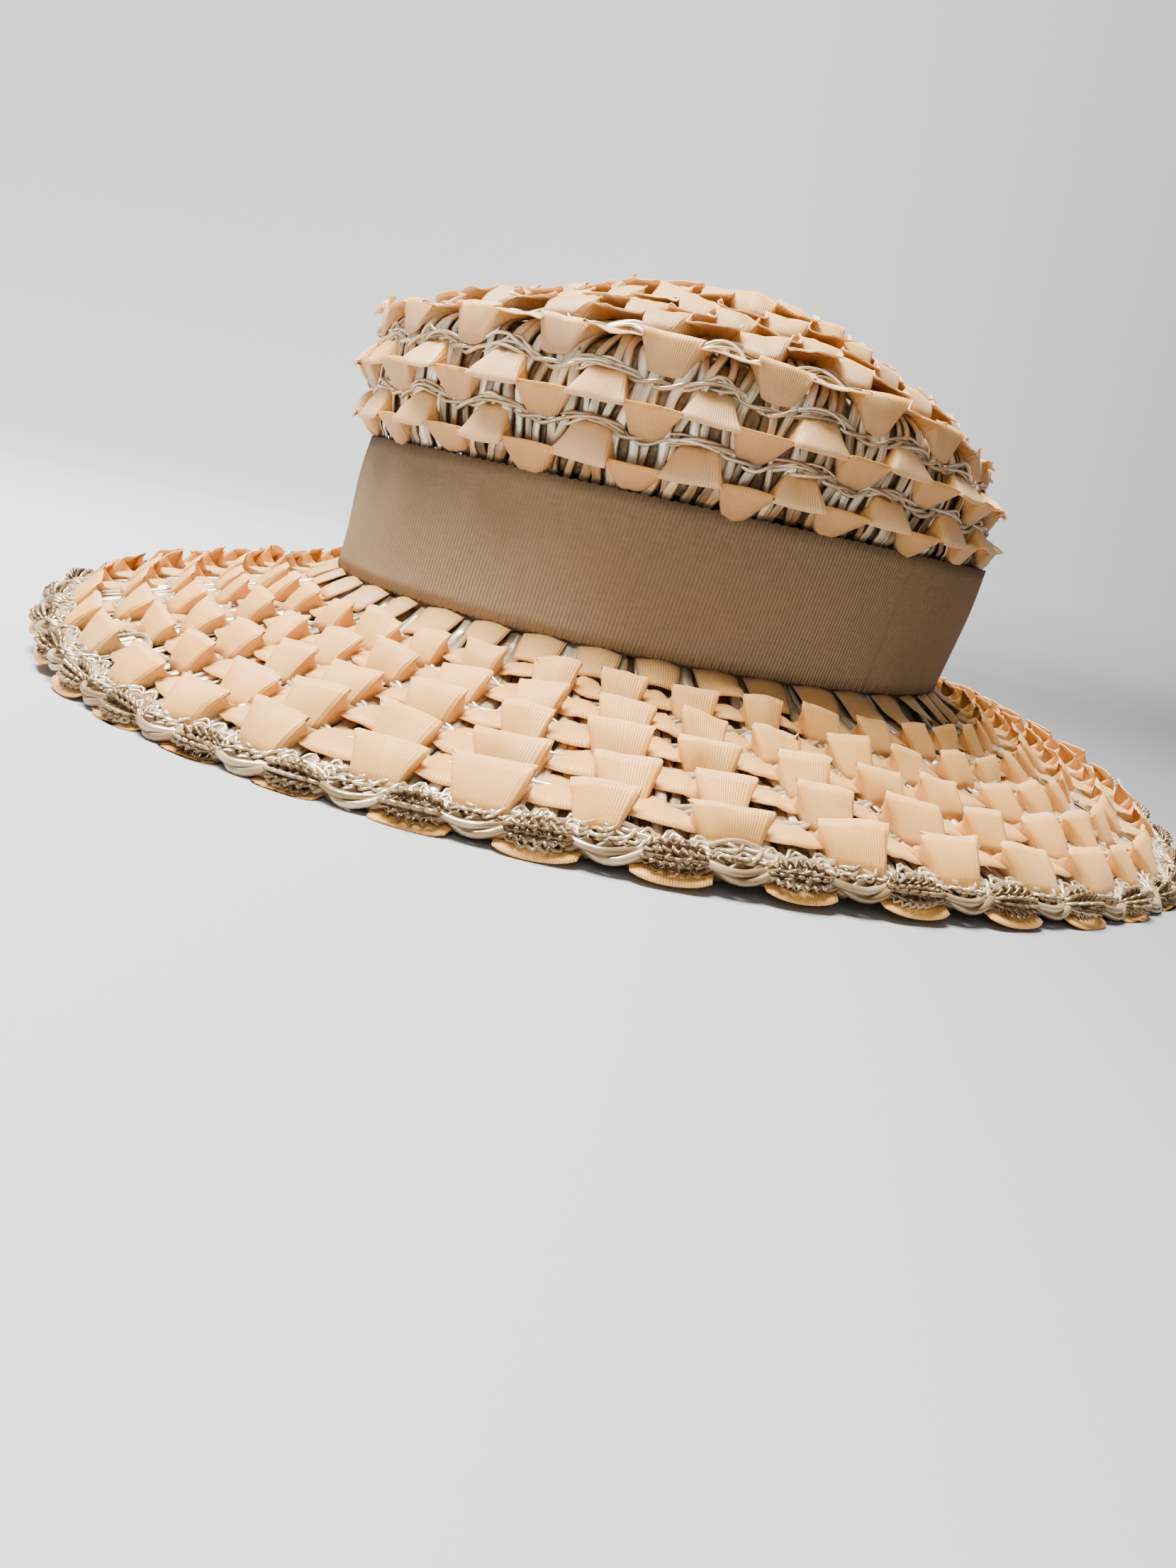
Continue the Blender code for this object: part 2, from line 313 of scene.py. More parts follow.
def slab(top, bottom, close_rows=False):
    """A closed thin sheet from two grids of points, (rows, columns, 3): its points and its faces."""
    rows, columns, _ = top.shape
    count = rows * columns
    upper = grid_faces(rows, columns, close_rows)
    lower = grid_faces(rows, columns, close_rows, start=count)[:, ::-1]
    down = np.arange(rows if close_rows else rows - 1)
    following = (down + 1) % rows
    sides = []
    for column, way in ((0, 1), (columns - 1, -1)):
        a = down * columns + column
        b = following * columns + column
        side = np.stack([a, b, b + count, a + count], -1)
        sides.append(side[:, ::way])
    ends = []
    if not close_rows:
        across = np.arange(columns - 1)
        for row, way in ((0, -1), (rows - 1, 1)):
            a = row * columns + across
            side = np.stack([a, a + 1, a + 1 + count, a + count], -1)
            ends.append(side[:, ::way])
    points = np.concatenate([top.reshape(-1, 3), bottom.reshape(-1, 3)])
    return points, np.concatenate([upper, lower, *sides, *ends])


def grid_normals(grid, close_rows):
    """A normal at each point of a grid of points."""
    if close_rows:
        down = np.roll(grid, -1, 0) - np.roll(grid, 1, 0)
    else:
        down = np.gradient(grid, axis=0)
    across = np.gradient(grid, axis=1)
    return unit(np.cross(across, down))


def grid_uv(across, along, copies=1):
    """The uv of a grid of points, repeated for each copy of it."""
    uv = np.stack(np.broadcast_arrays(across, along), -1).reshape(-1, 2)
    return np.concatenate([uv] * copies)


def wander(seed, count, bumps):
    """A smooth closed random line of count values, with about that many bumps, from -1 to 1."""
    source = rng(seed)
    angle = np.arange(count) * TURN / count
    line = np.zeros(count)
    for wave in range(1, 2 * bumps):
        weight = math.exp(-((wave - bumps) / (0.6 * bumps)) ** 2)
        line += weight * source.normal() * np.cos(wave * angle + source.uniform(0, TURN))
    return line / max(np.abs(line).max(), 1e-9)


# Materials


def new_material(name):
    made = bpy.data.materials.new(name)
    made.use_nodes = True
    return made, made.node_tree.nodes, made.node_tree.links, made.node_tree.nodes["Principled BSDF"]


def add(nodes, kind, **values):
    node = nodes.new(kind)
    for key, value in values.items():
        setattr(node, key, value)
    return node


def ramp(nodes, links, factor, stops):
    """A colour ramp, from (place, colour) stops."""
    node = nodes.new("ShaderNodeValToRGB")
    elements = node.color_ramp.elements
    while len(elements) < len(stops):
        elements.new(0.5)
    for element, (place, colour) in zip(elements, stops):
        element.position = place
        element.color = (*colour, 1)
    links.new(factor, node.inputs["Fac"])
    return node


def math_node(nodes, links, operation, first, second=None):
    node = add(nodes, "ShaderNodeMath", operation=operation)
    for socket, value in zip(node.inputs, (first, second)):
        if value is None:
            continue
        if isinstance(value, (int, float)):
            socket.default_value = value
        else:
            links.new(value, socket)
    return node.outputs[0]


def uneven_shade(nodes, links, noise, amount):
    """Each point's shade, which holds painted light and shade as well as tone, made uneven by a noise."""
    shade = add(nodes, "ShaderNodeAttribute", attribute_name="shade")
    change = math_node(nodes, links, "SUBTRACT", noise.outputs["Fac"], 0.5)
    change = math_node(nodes, links, "MULTIPLY", change, amount)
    return math_node(nodes, links, "ADD", shade.outputs["Fac"], change)


def add_bump(nodes, links, shader, height, strength, depth):
    bump = add(nodes, "ShaderNodeBump")
    bump.inputs["Strength"].default_value = strength
    bump.inputs["Distance"].default_value = depth
    links.new(height, bump.inputs["Height"])
    links.new(bump.outputs[0], shader.inputs["Normal"])


def ribbon_material(name, rib_scale, stops, roughness, rib_depth, glow):
    """Ribbed ribbon: fine ribs across its length, blotches and, with a glow, some light let through."""
    made, nodes, links, shader = new_material(name)
    place = add(nodes, "ShaderNodeUVMap", uv_map="uv")
    split = add(nodes, "ShaderNodeSeparateXYZ")
    links.new(place.outputs[0], split.inputs[0])
    ribs = math_node(nodes, links, "MULTIPLY", split.outputs["X"], rib_scale)
    ribs = math_node(nodes, links, "SINE", ribs)
    blotch = add(nodes, "ShaderNodeTexNoise")
    blotch.inputs["Scale"].default_value = 55
    blotch.inputs["Detail"].default_value = 3
    mixed = uneven_shade(nodes, links, blotch, 0.25)
    mixed = math_node(nodes, links, "ADD", mixed, math_node(nodes, links, "MULTIPLY", ribs, 0.025))
    colour = ramp(nodes, links, mixed, stops)
    links.new(colour.outputs[0], shader.inputs["Base Color"])
    add_bump(nodes, links, shader, ribs, 0.5, rib_depth)
    shader.inputs["Roughness"].default_value = roughness
    shader.inputs["Sheen Weight"].default_value = 0.08 if glow else 0
    shader.inputs["Sheen Roughness"].default_value = 0.4
    shader.inputs["Specular IOR Level"].default_value = 0.35
    if glow:
        through = add(nodes, "ShaderNodeBsdfTranslucent")
        through.inputs["Color"].default_value = (0.95, 0.55, 0.22, 1)
        mix = add(nodes, "ShaderNodeMixShader")
        mix.inputs[0].default_value = glow
        links.new(shader.outputs[0], mix.inputs[1])
        links.new(through.outputs[0], mix.inputs[2])
        links.new(mix.outputs[0], nodes["Material Output"].inputs["Surface"])
    return made


def straw_material(name, stops, roughness, streaks):
    """Glossy straw: fine streaks along each strand, which also paint glints where they lighten its colour.
    """
    made, nodes, links, shader = new_material(name)
    place = add(nodes, "ShaderNodeUVMap", uv_map="uv")
    stretch = add(nodes, "ShaderNodeMapping")
    stretch.inputs["Scale"].default_value = (streaks, 70, 1)
    links.new(place.outputs[0], stretch.inputs[0])
    streak_glint = add(nodes, "ShaderNodeTexNoise")
    streak_glint.inputs["Scale"].default_value = 1
    streak_glint.inputs["Detail"].default_value = 4
    links.new(stretch.outputs[0], streak_glint.inputs["Vector"])
    # The streak noise moves the shade a long way: partly the straw's own streaks, partly painted glints.
    colour = ramp(nodes, links, uneven_shade(nodes, links, streak_glint, 0.9), stops)
    links.new(colour.outputs[0], shader.inputs["Base Color"])
    add_bump(nodes, links, shader, streak_glint.outputs["Fac"], 0.9, 0.0006)
    shader.inputs["Roughness"].default_value = roughness
    shader.inputs["Specular IOR Level"].default_value = 0.7
    shader.inputs["Metallic"].default_value = 0.4
    return made


PEACH = ribbon_material(
    "peach_ribbon", TURN * 1.7,
    ((0.0, (0.32, 0.19, 0.090)), (0.35, (0.57, 0.35, 0.165)),
     (0.7, (0.90, 0.435, 0.090)), (1.0, (0.89, 0.54, 0.26))),
    roughness=0.42, rib_depth=0.00008, glow=0.06)
TAN = ribbon_material(
    "tan_band", TURN * 0.95,
    ((0.0, (0.07, 0.043, 0.020)), (0.45, (0.200, 0.134, 0.068)),
     (0.7, (0.275, 0.188, 0.100)), (1.0, (0.41, 0.29, 0.17))),
    roughness=0.75, rib_depth=0.00025, glow=0.0)
STRAW = straw_material(
    "silver_straw",
    ((0.0, (0.08, 0.045, 0.018)), (0.35, (0.27, 0.190, 0.10)),
     (0.65, (0.62, 0.51, 0.33)), (1.0, (1.00, 0.94, 0.80))),
    roughness=0.24, streaks=900)
CORD = straw_material(
    "straw_cord",
    ((0.0, (0.09, 0.050, 0.020)), (0.35, (0.32, 0.21, 0.105)),
     (0.65, (0.70, 0.55, 0.36)), (1.0, (1.00, 0.93, 0.80))),
    roughness=0.22, streaks=700)
LINING = straw_material(
    "straw_inside",
    ((0.0, (0.14, 0.08, 0.035)), (0.5, (0.42, 0.30, 0.16)), (1.0, (0.80, 0.66, 0.46))),
    roughness=0.5, streaks=500)


# Ribbon rows


def ribbon_row(name, surface, row, tabs, reaches, seed, node):
    """A thin ribbon on its edge: the woven edge lies on the straw, caught up and down by turns, and the
    free edge stands proud on the row's line."""
    count = tabs * RIBBON_SAMPLES
    even = (np.arange(count) + 0.5) / RIBBON_SAMPLES
    phase = even - 0.6 * np.sin(2 * TURN * even) / (2 * TURN)
    source = rng(seed)
    tab = np.floor(phase).astype(int)
    part = phase - tab
    on_brim = surface is brim_point
    folds = BRIM_FOLDS if on_brim else RIBBON_FOLDS

    def fold(column, spread):
        steps = (-spread, 0, spread)
        return sum(np.interp(part + step, folds[:, 0], folds[:, column]) for step in steps) / 3

    def by_tab(spread):
        """A random value for each half tab, joined smoothly."""
        values = source.normal(0, spread, 2 * tabs)
        places = (2 * phase - 0.5) % (2 * tabs)
        return np.interp(places, np.arange(2 * tabs + 1), np.append(values, values[0]))

    free_place, woven_place, side = fold(1, 0.010), fold(2, 0.015), fold(3, 0.02)
    jog = by_tab(0.070 if on_brim else 0.030)
    size = 1 + by_tab(0.17 if on_brim else 0.08)
    root_angle = TURN * (tab + woven_place + jog + by_tab(0.02)) / tabs
    free_angle = TURN * (tab + free_place + jog) / tabs
    middle = ((part * 2) % 1 - 0.5) * 2
    rounded = np.where(side < 0, 1 - 0.30 * np.abs(middle) ** 3, 1 - 0.10 * np.abs(middle) ** 4)
    up, down = reaches
    root_row = row + np.where(side > 0, up * side, down * side) * size * rounded
    droop = -0.035 * side * (1 - middle ** 2) + 0.02 * by_tab(1.0)
    free_row = row + (up + down) * (droop - 0.025 * side)
    proud = RIBBON_PROUD + 0.0006 * side + 0.0006 * by_tab(1.0) + 0.0009 * middle * by_tab(1.0)
    behind = np.clip(-side, 0, 1)
    clear = np.full(count, 0.0006)
    if on_brim:
        free_row = free_row + (0.010 + 0.032 * (1 - middle ** 2) + 0.014 * middle) * behind
        proud = proud - (0.0032 + 0.0010 * np.abs(middle)) * behind
    else:
        over = np.clip((row - 2.0) / 1.5, 0, 1) * np.clip(side, 0, 1)
        free_row = free_row - 0.22 * over
        proud = proud - 0.0015 * over
        clear = clear + 0.0012 * behind * np.clip(row - 1.5, 0, 1)
    root_normal = normal_at(surface, root_angle, root_row)
    root = surface(root_angle, root_row) + root_normal * clear[:, None]
    free_normal = normal_at(surface, free_angle, free_row)
    free = surface(free_angle, free_row) + free_normal * proud[:, None]
    share = np.linspace(0, 1, RIBBON_ACROSS)
    grid = root[:, None] * (1 - share)[:, None] + free[:, None] * share[:, None]
    flat = np.clip(np.abs(side), 0, 1) * (1 - 0.5 * middle ** 2)
    bow = np.sin(math.pi * share ** 0.8)[None, :]
    bulge = (0.0010 + 0.0004 * by_tab(1.0))[:, None] * flat[:, None] * bow
    if on_brim:
        bulge = bulge * (1 - 0.6 * behind)[:, None]
        curl = 0.0006 * behind * (1 - 0.8 * middle ** 2)
        bulge = bulge + curl[:, None] * np.sin(math.pi * share ** 1.3)[None, :]
    grid = grid + free_normal[:, None] * bulge[..., None]
    normals = grid_normals(grid, True)
    crumple = 0.00020 * wander(seed + 3, count, tabs * 3)[:, None] * (0.3 + 0.7 * share)[None, :]
    crease = np.sin(share[None, :] * 5 + 9 * by_tab(1.0)[:, None] + 3 * middle[:, None])
    grid = grid + normals * (crumple + 0.00018 * crease)[..., None]
    half = normals * RIBBON_THICK / 2
    points, faces = slab(grid + half, grid - half, close_rows=True)
    length = np.cumsum(np.linalg.norm(np.roll(free, -1, 0) - free, axis=1)) * MM
    width = share * RIBBON_WIDTH * MM
    uv = grid_uv(length[:, None], width[None, :], 2)
    # Painted shade: tabs that face down are painted darker and tabs that face up lighter, more so in the
    # lower crown rows, and each tab is painted darker towards its woven edge.
    below = 0.06 if on_brim else 0.26 - 0.025 * row
    lit = 0.60 + below * side[:, None] + (0.09 if on_brim else 0.16) * share[None, :]
    lit = lit + 0.04 * by_tab(1.0)[:, None]
    # Painted highlight along the free edge.
    lit[:, -1] += 0.22
    # Painted shade in the folds, darkest towards the woven edge.
    folded = 1 - np.clip(np.abs(side), 0, 1)
    lit -= 0.20 * folded[:, None] * (1 - share)[None, :]
    # The inner face is painted a little darker than the outer, as painted shade.
    shades = np.concatenate([lit.ravel(), lit.ravel() - 0.06])
    piece = mesh_piece(name, points, faces, uv, shades, PEACH, (node,), "peach_ribbon")


def ribbon_straps():
    """Flat ribbon tabs that come out from under the band, between bunches of straw."""
    columns, rows = 9, 7
    source = rng(77)
    parts = []
    for i in range(BRIM_TABS):
        middle = TURN * (i + 0.75 + source.normal(0, 0.03)) / BRIM_TABS
        down = np.linspace(0.0, 1.0, rows)
        across = np.linspace(-1, 1, columns)
        half_width = TURN / BRIM_TABS * (0.40 - 0.10 * down + source.normal(0, 0.035))
        angle = middle + half_width[:, None] * across[None, :]
        reach = 0.128 + source.normal(0, 0.010)
        share = 0.004 + reach * down[:, None] * (1 - 0.06 * across[None, :] ** 2)
        share = share + source.normal(0, 0.008) * down[:, None] * across[None, :]
        lift = 0.0016 + 0.0006 * np.cos(across * 2)[None, :] + 0.0012 * np.sin(math.pi * down)[:, None]
        curl = abs(source.normal(0, 0.0008))
        way = source.choice((-1, 1))
        lift = lift + curl * (1 + way * across)[None, :] * down[:, None]
        grid = brim_point(angle, share) + normal_at(brim_point, angle, share) * lift[..., None]
        normals = grid_normals(grid, False)
        half = normals * RIBBON_THICK / 2
        points, faces = slab(grid + half, grid - half)
        uv = grid_uv(across[None, :] * 5, down[:, None] * 11, 2)
        # Painted shade: each strap is painted darker towards the band and at its side edges, on a tone
        # that differs at random.
        tone_and_shade = 0.62 + source.normal(0, 0.03) - 0.12 * (1 - down)[:, None]
        tone_and_shade = tone_and_shade - 0.12 * np.abs(across)[None, :] ** 6
        parts.append((points, faces, uv, np.tile(tone_and_shade.ravel(), 2)))
    straps = mesh_piece("ribbon_straps", *gathered(parts), PEACH, (), "peach_ribbon")


def all_ribbons():
    for i, (station, tabs, up, down) in enumerate(CROWN_ROWS):
        name = f"woven_crown_ribbon_{i + 1}"
        ribbon_row(name, crown_point, station, tabs, (up, down), 100 + i * 10, f"crown_ribbon_{i + 1}")
    reach = BRIM_TAB_REACH / brim_reach()
    for i, share in enumerate(BRIM_ROWS):
        name = f"woven_brim_ribbon_{i + 1}"
        seed = 300 + i * 10
        ribbon_row(name, brim_point, share, BRIM_TABS, (reach, reach), seed, f"brim_ribbon_{i + 1}")


# Straw


def strands(surface, paths, seed):
    """Flat curled strands along paths, which are lists of (angles, places): points, faces, uv, shades."""
    source = rng(seed)
    parts = []
    for angle, place in paths:
        middle = surface(angle, place)
        normal = normal_at(surface, angle, place)
        ahead = unit(np.gradient(middle, axis=0))
        side = unit(np.cross(normal, ahead))
        steps = np.arange(len(angle))
        wide = STRAND_WIDTH * source.uniform(0.75, 1.2)
        wide = wide * (1 + 0.12 * np.sin(steps * source.uniform(0.5, 1.1)))
        tall = STRAND_WIDTH * source.uniform(0.18, 0.42)
        up = STRAND_LIFT * (0.5 + source.uniform(0, 1))
        up = up * (1 + 0.4 * np.sin(steps * source.uniform(0.6, 1.2)))
        tilt = source.uniform(-0.35, 0.35)
        if surface is crown_point:
            low = np.clip((place - place[0]) / 0.35, 0.35, 1)
            # Painted shade: strands are painted darker near the band.
            painted_foot_shade = 0.40 * np.clip(1 - place / 0.8, 0, 1)
        else:
            low = np.clip((1.0 - place) / 0.15, 0, 1)
            # Painted shade: strands are painted darker near the band.
            painted_foot_shade = 0.2 * np.clip(1 - place / 0.1, 0, 1)
        up, tall = up * low, tall * low
        ring = []
        for x, z in STRAND_PROFILE:
            across = side * (x * wide)[:, None]
            ring.append(middle + across + normal * (up + tall * z + low * tilt * x * wide)[:, None])
        grid = np.stack(ring, 1)
        rows, columns, _ = grid.shape
        ends = np.array([[0, 1, 4, 5], [1, 2, 3, 4]])
        faces = [grid_faces(rows, columns, close_columns=True), ends[:, ::-1], ends + (rows - 1) * columns]
        length = np.cumsum(np.append(0, np.linalg.norm(np.diff(middle, axis=0), axis=1)))
        offset = source.uniform(0, 50)
        uv = grid_uv(STRAND_PROFILE[:, 0][None, :] * STRAND_WIDTH + offset, length[:, None])
        # Each strand's tone differs at random, with painted shade at its edges, underneath and near the
        # band.
        shades = source.normal(0.58, 0.20) + STRAND_PAINTED_SHADE[None, :] - painted_foot_shade[:, None]
        parts.append((grid.reshape(-1, 3), np.concatenate(faces), uv, shades.ravel()))
    return gathered(parts)


def crown_strand_paths(seed):
    """Strands up the crown, which end under the rows as the crown closes."""
    source = rng(seed)
    ends = (8.8, 5.5, 7.5, 4.5, 6.5, 5.5, 7.5, 4.5)
    paths = []
    for i in range(CROWN_STRANDS):
        start_angle = TURN * (i + source.uniform(-0.25, 0.25)) / CROWN_STRANDS
        end = ends[i % len(ends)]
        place = np.arange(-0.12, end, 0.16)
        sway = 0.010 * np.sin(place * TURN / 2 + source.uniform(0, TURN)) + 0.004 * source.normal()
        paths.append((start_angle + sway, place))
    return paths


def brim_strand_paths(seed):
    """Strands out along the brim, in narrow bunches between the straps at its foot."""
    source = rng(seed)
    paths = []
    for i in range(BRIM_TABS * BRIM_BUNCH):
        tab, line = divmod(i, BRIM_BUNCH)
        start = 0.0 if line % 4 else 0.34
        place = np.linspace(start + 0.004, 0.93, 24 if start == 0 else 15)
        spread = np.interp(place, (0.0, 0.05, 0.15, 0.3), (0.16, 0.30, 0.55, 0.96))
        offset = (line - (BRIM_BUNCH - 1) / 2 + source.uniform(-0.25, 0.25)) / BRIM_BUNCH
        sway = 0.005 * np.sin(place * TURN * 3 + source.uniform(0, TURN))
        paths.append((TURN * (tab + 0.25 + offset * spread) / BRIM_TABS + sway, place))
    return paths


def tube_points(centre, side, normal, radii, sides):
    """The points of a tube round a line of points, with a radius at each."""
    round_it = np.arange(sides) * TURN / sides
    across = np.cos(round_it)[None, :] * radii[:, None]
    up = np.sin(round_it)[None, :] * radii[:, None]
    return centre[:, None] + side[:, None] * across[..., None] + normal[:, None] * up[..., None]


def twisted_pair(middle, side, normal, radius, wobble, twist, turns, sides, tones):
    """Two strands twisted round a closed line of points: points, faces, uv, shades. Wobble is each
    place's share of the radius, and tones is a line of shades for each strand."""
    count = len(middle)
    spin = TURN * turns * np.arange(count) / count
    parts = []
    for strand, tone_and_shade in enumerate(tones):
        core = spin + strand * math.pi
        centre = middle + twist * (side * np.cos(core)[:, None] + normal * np.sin(core)[:, None])
        points = tube_points(centre, side, normal, radius * wobble, sides)
        length = np.cumsum(np.linalg.norm(np.roll(centre, -1, 0) - centre, axis=1))
        around = np.abs(np.linspace(-1, 1, sides)) * radius + strand
        uv = grid_uv(around[None, :], length[:, None])
        faces = grid_faces(count, sides, True, True)
        parts.append((points.reshape(-1, 3), faces, uv, np.repeat(tone_and_shade, sides)))
    return gathered(parts)


def twisted_cord(surface, angle, place, lift, radius, twist, turns, sides, seed):
    """Two strands twisted round a closed path on a surface."""
    count = len(angle)
    normal = normal_at(surface, angle, place)
    middle = surface(angle, place) + normal * lift[:, None]
    ahead = unit(np.roll(middle, -1, 0) - np.roll(middle, 1, 0))
    side = unit(np.cross(ahead, normal))
    wobble = 1 + 0.15 * wander(seed, count, 40)
    tones = [0.60 + 0.10 * wander(seed + 5 + strand, count, 30) for strand in range(2)]
    return twisted_pair(middle, side, np.cross(side, ahead), radius, wobble, twist, turns, sides, tones)


def tube_pair(middle, radius, twist, turns, seed, shade):
    """Two strands twisted round a closed line of points by the rim."""
    count = len(middle)
    ahead = unit(np.roll(middle, -1, 0) - np.roll(middle, 1, 0))
    side = unit(np.cross(ahead, np.array([0, 0, 1.0])))
    wobble = 1 + 0.2 * wander(seed, count, 60)
    tones = [shade + 0.12 * wander(seed + 5 + strand, count, 50) for strand in range(2)]
    return twisted_pair(middle, side, np.cross(side, ahead), radius, wobble, twist, turns, 6, tones)


def gathered(parts):
    """Several (points, faces, uv, shades) as one."""
    points, faces, uvs, shades = [], [], [], []
    start = 0
    for part in parts:
        points.append(part[0])
        faces.append(part[1] + start)
        uvs.append(part[2])
        shades.append(part[3])
        start += len(part[0])
    return np.concatenate(points), np.concatenate(faces), np.concatenate(uvs), np.concatenate(shades)


def backing(name, surface, places, nodes):
    """The inner side of the straw, just under the strands and seen in the gaps between them; on the crown
    it is painted darker lower down, as painted shade.
    """
    count = 126
    angle = np.arange(count) * TURN / count
    top = surface(angle[:, None], places[None, :])
    normal = normal_at(surface, angle[:, None], places[None, :])
    outer = top - normal * LINING_OUTER
    inner = top - normal * LINING_INNER
    if surface is crown_point:
        # Painted shade: darker towards the band.
        tone_and_shade = np.interp(places, (0, 2.5, 4), (0.05, 0.2, 0.9))
    else:
        tone_and_shade = np.full(len(places), 0.45)
        outer, inner = inner, outer
    points, faces = slab(outer, inner, close_rows=True)
    uv = grid_uv((angle / TURN)[:, None], places[None, :] * 0.1, 2)
    mesh_piece(name, points, faces, uv, np.tile(tone_and_shade, 2 * count), LINING, nodes, "silver_straw")


def crown_straw():
    backing("crown_lining", crown_point, np.append(np.arange(0.0, 8.9, 0.25), 8.97), ("crown_straw",))
    straw = strands(crown_point, crown_strand_paths(11), 12)
    mesh_piece("crown_strands", *straw, STRAW, (), "silver_straw")
    cords = []
    for i, (station, tabs, _, _) in enumerate(CROWN_ROWS[:-1]):
        count = tabs * 20
        phase = np.arange(count) / 20
        angle = TURN * phase / tabs
        wave = np.sin(TURN * phase)
        place = station + 0.50 + 0.10 * wave + 0.04 * wander(520 + i, count, 2 * tabs)
        lift = 0.0008 - 0.0004 * wave
        cords.append(twisted_cord(crown_point, angle, place, lift, 0.00055, 0.00070, 2 * tabs, 5, 500 + i))
        cords.extend(crown_bunches(station, tabs, 560 + i))
    mesh_piece("crown_cords", *gathered(cords), CORD, (), "silver_straw")


def crown_bunches(station, tabs, seed):
    """Loose fine strands that arch over the upward tabs of a row."""
    source = rng(seed)
    along = np.linspace(-1, 1, 14)
    for tab in range(tabs):
        for line in range(5):
            phase = tab + 0.25 + source.normal(0, 0.05) + source.uniform(0.20, 0.36) * along
            arch = source.uniform(0.02, 0.24) * (1 - along ** 2)
            place = station + 0.50 + arch + source.uniform(-0.10, 0.10) * along
            angle = TURN * phase / tabs
            lift = 0.0006 + source.uniform(0.0008, 0.0024) * (1 - along ** 2)
            middle = crown_point(angle, place) + normal_at(crown_point, angle, place) * lift[:, None]
            yield open_tube(middle, source.uniform(0.00030, 0.00055), source, 0.62)


def brim_straw():
    backing("brim_lining", brim_point, np.linspace(-0.02, 0.975, 22), ("brim_straw",))
    straw = strands(brim_point, brim_strand_paths(21), 22)
    mesh_piece("brim_strands", *straw, STRAW, (), "silver_straw")
    cords = []
    for i, share in enumerate(BRIM_ROWS):
        count = BRIM_TABS * 14
        phase = np.arange(count) / 14
        angle = TURN * phase / BRIM_TABS
        wave = np.sin(TURN * phase)
        place = share + 0.085 - 0.020 * wave
        lift = 0.0010 + 0.0003 * wave
        cords.append(twisted_cord(brim_point, angle, place, lift, 0.0007, 0.0006, BRIM_TABS, 5, 600 + i))
    mesh_piece("brim_cords", *gathered(cords), CORD, (), "silver_straw")
    cords = []
    for i, share in enumerate((0.925, 0.95, 0.975)):
        count = BRIM_TABS * 36
        phase = np.arange(count) / 36
        place = share + 0.014 * np.sin(TURN * phase * (5 + i)) + 0.006 * wander(640 + i, count, BRIM_TABS)
        lift = 0.0010 + 0.0005 * np.cos(TURN * phase * (4 + i))
        angle = TURN * phase / BRIM_TABS
        turns = 4 * BRIM_TABS
        cords.append(twisted_cord(brim_point, angle, place, lift, 0.00045, 0.0005, turns, 4, 650 + i))
    mesh_piece("rim_lace", *gathered(cords), CORD, (), "silver_straw")


# Band and rim


def wall_lining():
    count = 128
    angle = np.arange(count) * TURN / count
    heights = np.linspace(-0.0035, BAND_HEIGHT - 0.0004, 8)
    outer = wall_point(angle[:, None], heights[None, :])
    inward = -unit(oval(angle, HEAD_WIDTH, HEAD_DEPTH))[:, None]
    points, faces = slab(outer, outer + inward * WALL_DEPTH, close_rows=True)
    uv = grid_uv((angle / TURN)[:, None], heights[None, :], 2)
    shades = np.full(len(points), 0.5)
    mesh_piece("wall_lining", points, faces, uv, shades, LINING, ("crown_wall",), "silver_straw")


def hat_band():
    """The plain ribbon round the foot of the crown, a little slack, with finely scalloped edges."""
    count = 960
    rows = 12
    angle = np.arange(count) * TURN / count
    share = np.linspace(0, 1, rows)
    foot = 0.0006
    height = foot + (BAND_HEIGHT - foot) * share
    base = wall_point(angle[:, None], height[None, :])
    out = unit(oval(angle, HEAD_WIDTH, HEAD_DEPTH))[:, None]
    slack = BAND_SLACK + 0.0008 * wander(71, count, 6)[:, None] * np.sin(math.pi * share)[None, :]
    slack = slack + 0.0004 * wander(72, count, 13)[:, None] * np.sin(TURN * share)[None, :]
    picot = 0.00022 * np.sin(angle * 240)
    grid = base + out * slack[..., None]
    grid[:, 0, 2] += picot
    grid[:, -1, 2] += picot
    points, faces = slab(grid + out * 0.0004, grid - out * 0.0003, close_rows=True)
    length = np.cumsum(np.linalg.norm(np.roll(grid[:, 0], -1, 0) - grid[:, 0], axis=1)) * MM
    uv = grid_uv(length[:, None], (share * 38)[None, :], 2)
    # Painted light: the band is painted lighter towards its foot, by the brim, and darker towards its top,
    # on a tone that differs at random.
    lit = 0.49 + 0.06 * wander(73, count, 7)[:, None] + 0.44 * (0.4 - share)[None, :]
    # Painted light and shade round the band: lighter on one side of the hat and darker on the far side.
    lit = lit + 0.24 * np.cos(angle + 0.68)[:, None]
    # Painted shade along the bottom edge and, less, the top edge.
    lit[:, :1] -= 0.22
    lit[:, -1:] -= 0.12
    # The inner face is painted darker, as painted shade.
    shades = np.concatenate([lit.ravel(), lit.ravel() - 0.1])
    band = mesh_piece("grosgrain_band", points, faces, uv, shades, TAN, ("hat_band",), "tan_band")
    length = math.pi * ((HEAD_DEPTH + HEAD_WIDTH) / 2 + 2 * BAND_SLACK)


def rim_point(angle, out, up):
    """A place by the rim cord's middle, that far out and up."""
    away = unit(oval(angle, BRIM_DEPTH, BRIM_WIDTH))
    return brim_point(angle, 1.0) + away * out[..., None] + np.stack([0 * up, 0 * up, up], -1)


